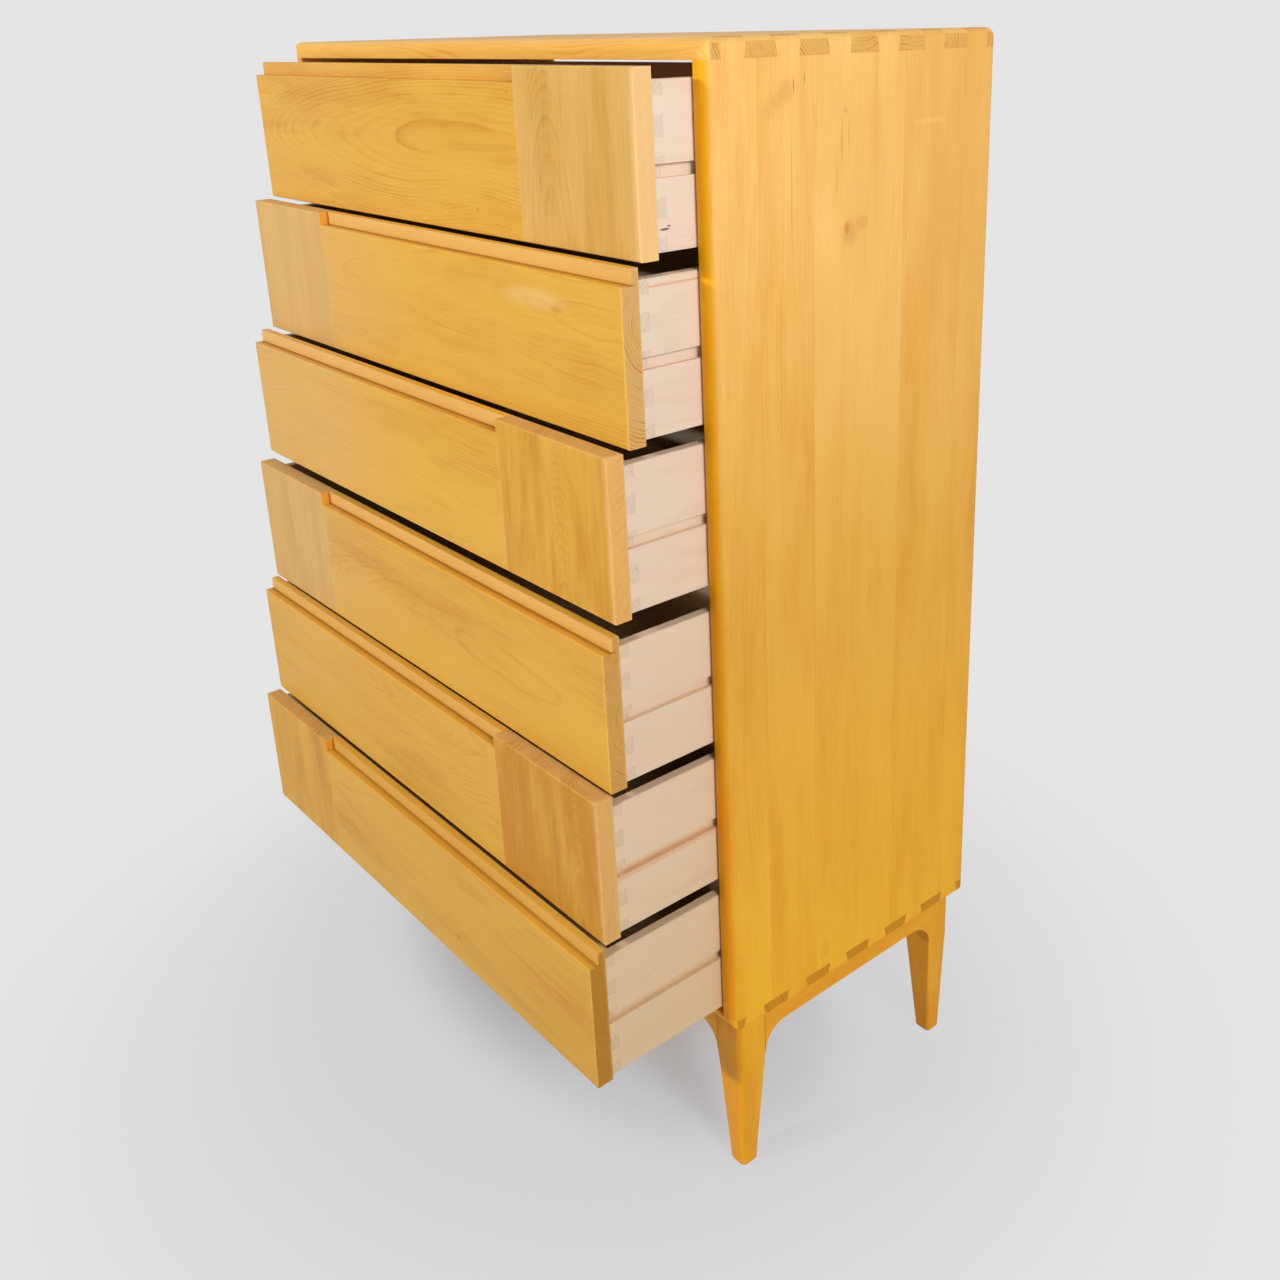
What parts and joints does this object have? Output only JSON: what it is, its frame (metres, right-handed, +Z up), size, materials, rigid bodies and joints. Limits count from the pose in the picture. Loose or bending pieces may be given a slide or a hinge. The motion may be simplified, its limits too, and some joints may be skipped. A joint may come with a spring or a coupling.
{
  "type": "highboy",
  "caption": "Tall, narrow chest of solid blond wood on a low frame with tapered legs; its drawers, pulled by a finger recess along the top edge, stand part open in steps.",
  "frame": {"origin": "on the floor under the middle of the object's bounds as it stands, drawers part open", "axes": "+X to the right of someone facing away from the front, that is the side with the upright end block on the top drawer; -Y out of the front, the way the drawers open; +Z up"},
  "size_m": [0.825, 0.568, 1.264],
  "materials": {
    "case_wood": "clear satin lacquer",
    "face_wood": "clear satin lacquer",
    "drawer_wood": "plain, thin matt lacquer",
    "panel_wood": "thin matt lacquer on plywood",
    "runner_wood": "waxed hardwood",
    "screw_steel": "zinc plated"
  },
  "bodies": {
    "carcase": {"side_left": "case_wood", "side_right": "case_wood", "top_board": "case_wood", "bottom_board": "case_wood", "back_panel": "panel_wood", "runners_left": "runner_wood", "runners_right": "runner_wood", "runner_screws": "screw_steel", "back_panel_screws": "screw_steel", "base_screws": "screw_steel", "leg_front_left": "case_wood", "leg_front_right": "case_wood", "leg_rear_left": "case_wood", "leg_rear_right": "case_wood", "rail_front": "case_wood", "rail_rear": "case_wood", "rail_left": "case_wood", "rail_right": "case_wood"},
    "drawer_1": {"drawer_1_face_board": "face_wood", "drawer_1_face_block": "face_wood", "drawer_1_sides": "drawer_wood", "drawer_1_box_front": "drawer_wood", "drawer_1_box_back": "drawer_wood", "drawer_1_bottom": "panel_wood", "drawer_1_face_screws": "screw_steel"},
    "drawer_2": {"drawer_2_face_board": "face_wood", "drawer_2_face_block": "face_wood", "drawer_2_sides": "drawer_wood", "drawer_2_box_front": "drawer_wood", "drawer_2_box_back": "drawer_wood", "drawer_2_bottom": "panel_wood", "drawer_2_face_screws": "screw_steel"},
    "drawer_3": {"drawer_3_face_board": "face_wood", "drawer_3_face_block": "face_wood", "drawer_3_sides": "drawer_wood", "drawer_3_box_front": "drawer_wood", "drawer_3_box_back": "drawer_wood", "drawer_3_bottom": "panel_wood", "drawer_3_face_screws": "screw_steel"},
    "drawer_4": {"drawer_4_face_board": "face_wood", "drawer_4_face_block": "face_wood", "drawer_4_sides": "drawer_wood", "drawer_4_box_front": "drawer_wood", "drawer_4_box_back": "drawer_wood", "drawer_4_bottom": "panel_wood", "drawer_4_face_screws": "screw_steel"},
    "drawer_5": {"drawer_5_face_board": "face_wood", "drawer_5_face_block": "face_wood", "drawer_5_sides": "drawer_wood", "drawer_5_box_front": "drawer_wood", "drawer_5_box_back": "drawer_wood", "drawer_5_bottom": "panel_wood", "drawer_5_face_screws": "screw_steel"},
    "drawer_6": {"drawer_6_face_board": "face_wood", "drawer_6_face_block": "face_wood", "drawer_6_sides": "drawer_wood", "drawer_6_box_front": "drawer_wood", "drawer_6_box_back": "drawer_wood", "drawer_6_bottom": "panel_wood", "drawer_6_face_screws": "screw_steel"}
  },
  "joints": [
    {"name": "drawer_1_slide", "type": "slide", "parent": "carcase", "child": "drawer_1", "axis": [0, -1, 0], "range_m": [-0.064, 0.196]},
    {"name": "drawer_2_slide", "type": "slide", "parent": "carcase", "child": "drawer_2", "axis": [0, -1, 0], "range_m": [-0.088, 0.172]},
    {"name": "drawer_3_slide", "type": "slide", "parent": "carcase", "child": "drawer_3", "axis": [0, -1, 0], "range_m": [-0.115, 0.145]},
    {"name": "drawer_4_slide", "type": "slide", "parent": "carcase", "child": "drawer_4", "axis": [0, -1, 0], "range_m": [-0.132, 0.128]},
    {"name": "drawer_5_slide", "type": "slide", "parent": "carcase", "child": "drawer_5", "axis": [0, -1, 0], "range_m": [-0.151, 0.109]},
    {"name": "drawer_6_slide", "type": "slide", "parent": "carcase", "child": "drawer_6", "axis": [0, -1, 0], "range_m": [-0.172, 0.088]}
  ]
}
